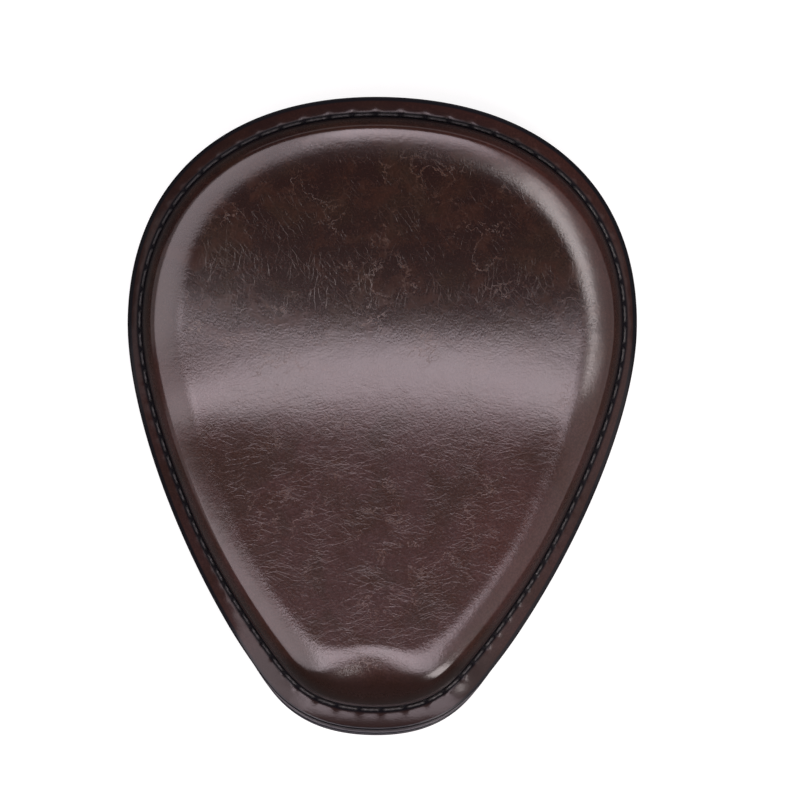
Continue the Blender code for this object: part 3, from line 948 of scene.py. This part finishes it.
def cover_leather():
    """Glossy pull-up leather: dark brown with reddish mottling, fine pebbles and creases."""
    f = Finish("brown cover leather", coat_roughness=0.17, specular_ior_level=0.05)
    past, inset, upper = f.attribute("past_foot"), f.attribute("inset"), f.attribute("upper")
    speck, fine = f.noise(0.009, 5, 0.68, 1.2), f.noise(0.0011, 4, 0.65)
    colour = leather_mottling(f, past, speck)
    creases, veins = leather_creases(f, past)
    colour = f.mix(f.product(creases, 0.11), colour, rgb(0.12, 0.066, 0.048))
    colour = f.mix(f.product(veins, 0.42), colour, rgb(0.16, 0.092, 0.066))
    colour = f.mix(f.band(fine, 0.40, 0.62, 0.0, 0.40), colour, rgb(0.010, 0.0045, 0.0038))
    colour = f.mix(f.band(fine, 0.44, 0.30, 0.0, 0.22), colour, rgb(0.090, 0.050, 0.040))
    # The nose's wall is painted darker, as painted shade. The flange is plum, partly its own tint
    # and partly painted reflection, and the edge and the seam are black: edge paint at the edge, and
    # painted shade in the seam's groove.
    nose = f.product(f.band(past, 0.024, 0.008), f.band(f.axes()["Y"], -0.118, -0.134))
    colour = f.mix(f.product(nose, 0.75), colour, rgb(0.012, 0.0055, 0.0040))
    flange = f.band(past, -0.0005, -0.0025, 0.0, 0.35)
    colour = f.mix(flange, colour, rgb(0.028, 0.0140, 0.0135))
    rim = f.band(f.math("MULTIPLY_ADD", fine, 0.0008, inset), 0.0034, 0.0026)
    # The black in the seam's groove is painted shade; the black at the edge is edge paint.
    from_seam = f.math("ABSOLUTE", f.math("ADD", past, 0.0018))
    seam_shade = f.band(from_seam, 0.0030, 0.0016, 0.0, 0.96)
    edge_paint_and_seam_shade = f.most(rim, seam_shade)
    colour = f.mix(edge_paint_and_seam_shade, colour, rgb(0.006, 0.006, 0.0085))
    # The flesh side inside is pale suede.
    suede = f.mix(fine, rgb(0.16, 0.10, 0.06), rgb(0.25, 0.17, 0.11))
    colour = f.mix(upper, suede, colour)
    # Grain: fine pebbles and pores, flatter where the leather is stretched over the edge.
    pebble = f.cells(0.0012, "SMOOTH_F1", f.shifted(0.0008, 0.002))
    height = f.math("MULTIPLY_ADD", pebble, -0.5, fine)
    height = f.product(height, f.band(past, 0.004, 0.020, 0.35, 1.0))
    normal = f.bump(height, 0.000055)
    normal = f.bump(f.most(creases, veins), 0.000018, normal)
    normal = f.bump(f.noise(0.012, 3, 0.5, 0.3), 0.00012, normal)
    f.put(normal, f.shader.inputs["Coat Normal"])
    rough = f.math("MULTIPLY_ADD", edge_paint_and_seam_shade, 0.05, f.math("MULTIPLY_ADD", speck, 0.16, 0.38))
    rough = f.mix(upper, rgb(0.9, 0.9, 0.9), rough)
    shine = f.product(f.band(past, -0.0025, 0.0, 0.5, 1.0), f.math("SUBTRACT", 1.0, seam_shade))
    return f.finish(base_color=colour, roughness=rough, normal=normal, coat_weight=shine)


def edge_leather(name, tint, inset_paint):
    """Black leather whose cut edge is painted, with its fibres showing a little; the blue cast of
    the paint and of the pale flecks is painted sheen.
    """
    f = Finish(name, coat_weight=0.5, coat_roughness=0.3, specular_ior_level=0.5)
    inset = f.attribute("inset")
    fine, cloud = f.noise(0.0012, 4, 0.65), f.noise(0.015, 3, 0.6)
    paint = f.band(f.math("MULTIPLY_ADD", fine, 0.0006, inset), inset_paint + 0.0008, inset_paint)
    colour = f.mix(f.band(cloud, 0.35, 0.7), tint, rgb(*(c * 1.7 for c in tint[:3])))
    # The blue cast of the edge paint here and of the pale flecks below is painted sheen.
    colour = f.mix(paint, colour, rgb(0.012, 0.0125, 0.019))
    colour = f.mix(f.band(fine, 0.55, 0.75, 0.0, 0.25), colour, rgb(0.06, 0.062, 0.08))
    grain = f.cells(0.0012, "SMOOTH_F1", f.shifted(0.0006, 0.002))
    height = f.math("MULTIPLY_ADD", grain, -0.6, f.product(fine, 0.8))
    normal = f.bump(height, 0.00008)
    rough = f.math("MULTIPLY_ADD", fine, 0.25, 0.36)
    f.put(normal, f.shader.inputs["Coat Normal"])
    return f.finish(base_color=colour, roughness=rough, normal=normal)


def waxed_thread():
    """Black waxed thread: fibres along the twist, with pale flecks painted in as highlights."""
    f = Finish("waxed thread", coat_weight=0.35, coat_roughness=0.3, specular_ior_level=0.5)
    fibre, painted_glint = f.noise(0.0004, 4, 0.7), f.noise(0.0009, 3, 0.7)
    colour = f.mix(f.band(fibre, 0.35, 0.7), rgb(0.006, 0.006, 0.007), rgb(0.032, 0.030, 0.031))
    # The pale flecks are painted highlights on the twisted plies.
    colour = f.mix(f.band(painted_glint, 0.58, 0.70, 0.0, 0.55), colour, rgb(0.13, 0.115, 0.11))
    normal = f.bump(fibre, 0.00022)
    rough = f.math("MULTIPLY_ADD", painted_glint, 0.3, 0.38)
    return f.finish(base_color=colour, roughness=rough, normal=normal)


def open_foam():
    """Cream moulded foam: fine open cells under a thin skin, a little yellowed."""
    f = Finish("moulded foam", sheen_weight=0.25, sheen_roughness=0.6, subsurface_weight=0.15)
    f.shader.inputs["Subsurface Scale"].default_value = 0.003
    cloud, cell = f.noise(0.05, 4, 0.6), f.cells(0.0011, "SMOOTH_F1")
    colour = f.mix(f.band(cloud, 0.35, 0.7), rgb(0.60, 0.52, 0.36), rgb(0.70, 0.64, 0.48))
    # The cells' hollows are painted darker, as painted shade.
    colour = f.mix(f.band(cell, 0.35, 0.75, 0.0, 0.35), colour, rgb(0.36, 0.28, 0.17))
    normal = f.bump(f.math("MULTIPLY_ADD", cell, -1.0, f.noise(0.004, 3)), 0.0003)
    rough = f.math("MULTIPLY_ADD", cloud, 0.1, 0.85)
    return f.finish(base_color=colour, roughness=rough, normal=normal)


def powder_coat():
    """Satin black powder coat with its fine orange peel, rubbed grey at the edges and the holes."""
    f = Finish("black powder coat", specular_ior_level=0.5, coat_weight=0.3, coat_roughness=0.35)
    peel, dust, scuff = f.noise(0.0016, 2), f.noise(0.03, 5, 0.65), f.noise(0.006, 6, 0.75, 2.0)
    colour = f.mix(f.band(dust, 0.35, 0.7), rgb(0.012, 0.012, 0.0135), rgb(0.026, 0.025, 0.025))
    edge = f.node("NewGeometry").outputs["Pointiness"]
    worn = f.product(f.band(edge, 0.53, 0.60), f.band(scuff, 0.45, 0.6))
    worn = f.most(worn, f.band(scuff, 0.67, 0.71, 0.0, 0.6))
    colour = f.mix(worn, colour, rgb(0.16, 0.155, 0.15))
    rough = f.math("MULTIPLY_ADD", dust, 0.2, 0.33)
    normal = f.bump(peel, 0.00009)
    f.put(normal, f.shader.inputs["Coat Normal"])
    return f.finish(base_color=colour, roughness=rough, normal=normal)


def zinc_plate():
    """Zinc plating: grey metal with faint blue and yellow passivation and a fine grain."""
    f = Finish("zinc plating", metallic=1.0)
    tint, grain = f.noise(0.004, 3, 0.6), f.noise(0.0005, 3, 0.7)
    colour = f.mix(f.band(tint, 0.4, 0.65), rgb(0.50, 0.51, 0.53), rgb(0.58, 0.54, 0.43))
    colour = f.mix(f.band(grain, 0.55, 0.75, 0.0, 0.4), colour, rgb(0.28, 0.27, 0.26))
    rough = f.math("MULTIPLY_ADD", grain, 0.3, 0.2)
    return f.finish(base_color=colour, roughness=rough, normal=f.bump(grain, 0.00004))


def paint(obj, material):
    obj.data.materials.clear()
    obj.data.materials.append(material)


def place(obj, material, slot, *replaced):
    paint(obj, material)
    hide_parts(*replaced)
    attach(obj, "root")


black_edge = edge_leather("black edge leather", rgb(0.014, 0.012, 0.013), 0.0009)
under_leather = edge_leather("black underside leather", rgb(0.016, 0.0145, 0.0145), 0.0012)
thread = waxed_thread()
coat = powder_coat()
zinc = zinc_plate()
place(cover, cover_leather(), "cover_leather", "top_cover")
place(filler, black_edge, "black_leather", "rim_filler")
place(under, under_leather, "black_leather", "underside_cover")
place(top_stitches, thread, "thread", "needle_thread")
place(low_stitches, thread, "thread", "bobbin_thread")
place(foam, open_foam(), "foam", "foam_pad")
place(pan, coat, "pan_steel", "seat_pan")
for plate, node_name in plates:
    place(plate, coat, "pan_steel", node_name)
for nut, node_name in nuts:
    place(nut, zinc, "zinc_steel", node_name)


# ---- floor, light and camera ------------------------------------------------------------------

FLOOR_HALF = 9.0
FLOOR_LINES = 13
FLOOR_LEVEL = -0.2 * MM
FLOOR_GLOW = 0.85


def build_floor():
    """A pale floor that glows a little, so that it stays even under the small lights."""
    steps = np.linspace(-FLOOR_HALF, FLOOR_HALF, FLOOR_LINES)
    grid_x, grid_y = np.meshgrid(steps, steps)
    points = np.column_stack([grid_x.ravel(), grid_y.ravel(), np.full(grid_x.size, FLOOR_LEVEL)])
    data = bpy.data.meshes.new("studio_floor")
    n = FLOOR_LINES
    corners = [row * n + column for row in range(n - 1) for column in range(n - 1)]
    faces = [(a, a + 1, a + n + 1, a + n) for a in corners]
    data.from_pydata([tuple(p) for p in points], [], faces)
    floor = link(bpy.data.objects.new("studio_floor", data))
    f = Finish("pale studio floor", specular_ior_level=0.1)
    speck = f.noise(0.3, 3)
    colour = f.mix(speck, rgb(0.29, 0.29, 0.29), rgb(0.32, 0.32, 0.32))
    f.finish(base_color=colour, roughness=f.math("MULTIPLY_ADD", speck, 0.1, 0.8))
    f.shader.inputs["Emission Color"].default_value = rgb(1, 1, 1)
    f.shader.inputs["Emission Strength"].default_value = FLOOR_GLOW
    paint(floor, f.material)
    floor.visible_glossy = False


build_floor()


def softbox(name, place_at, size, radiance, tint):
    """An area light aimed at the seat, of this radiance, that the camera doesn't see."""
    data = bpy.data.lights.new(name, "AREA")
    data.shape = "RECTANGLE"
    data.size, data.size_y = size
    data.energy = radiance * math.pi * size[0] * size[1]
    data.color = tint
    lamp = link(bpy.data.objects.new(name, data))
    lamp.location = place_at
    lamp.rotation_euler = (-Vector(place_at)).to_track_quat("-Z", "Y").to_euler()
    lamp.visible_camera = False


def direction(x_angle, y_angle, distance):
    """A point at this distance, tilted from straight up by these angles towards +X and +Y."""
    v = Vector((math.tan(math.radians(x_angle)), math.tan(math.radians(y_angle)), 1.0))
    return v.normalized() * distance


PANEL_DISTANCE = 3.0


def panel(name, tilt, half, radiance, tint):
    """A softbox whose middle and half sizes are given as angles seen from the seat."""
    size = [2 * PANEL_DISTANCE * math.tan(math.radians(angle)) for angle in half]
    softbox(name, direction(*tilt, PANEL_DISTANCE), size, radiance, tint)


# Tilt and half size are in degrees.
panel("overhead", (3.0, 0), (9.5, 10.5), 5.9, (1.0, 0.85, 0.93))
panel("right", (29, -28), (8, 17), 8.8, (1.0, 0.90, 0.90))
panel("left", (-24, -8), (12, 24), 2.9, (1.0, 0.86, 0.92))
panel("low left", (-56, -5), (12, 40), 0.7, (1.0, 0.90, 0.95))
panel("low right", (56, -12), (16, 40), 0.8, (1.0, 0.88, 0.90))
panel("low rear", (0, 58), (40, 10), 0.8, (1.0, 0.90, 0.93))

WORLD_LIGHT = 0.06
WORLD_SEEN = 0.9


def build_world():
    """A pale world for the camera, which lights the seat only faintly."""
    world = bpy.data.worlds.new("studio")
    bpy.context.scene.world = world
    world.use_nodes = True
    tree = world.node_tree
    back = tree.nodes["Background"]
    back.inputs["Color"].default_value = rgb(0.95, 0.9, 0.92)
    seen = tree.nodes.new("ShaderNodeLightPath").outputs["Is Camera Ray"]
    strength = tree.nodes.new("ShaderNodeMapRange")
    strength.inputs["To Min"].default_value = WORLD_LIGHT
    strength.inputs["To Max"].default_value = WORLD_SEEN
    tree.links.new(seen, strength.inputs["Value"])
    tree.links.new(strength.outputs[0], back.inputs["Strength"])


build_world()

# A long lens straight above: the picture spans FRAME_ACROSS at the seat. Lens and sensor in mm.
LENS = 800.0
SENSOR = 36.0
FRAME_ACROSS = 0.4150
SEAT_LEVEL = 30 * MM
CAMERA_HEIGHT = FRAME_ACROSS * LENS / SENSOR + SEAT_LEVEL
CAMERA_TURN = math.radians(1.7)
CAMERA_OVER = (0.0104, 0.0080)


def build_camera():
    data = bpy.data.cameras.new("camera")
    data.lens = LENS
    data.sensor_width = SENSOR
    data.clip_end = 100.0
    camera = link(bpy.data.objects.new("camera", data))
    camera.location = (*CAMERA_OVER, CAMERA_HEIGHT)
    camera.rotation_euler = (0, 0, CAMERA_TURN)
    bpy.context.scene.camera = camera


build_camera()
bpy.context.scene.view_settings.view_transform = "Standard"
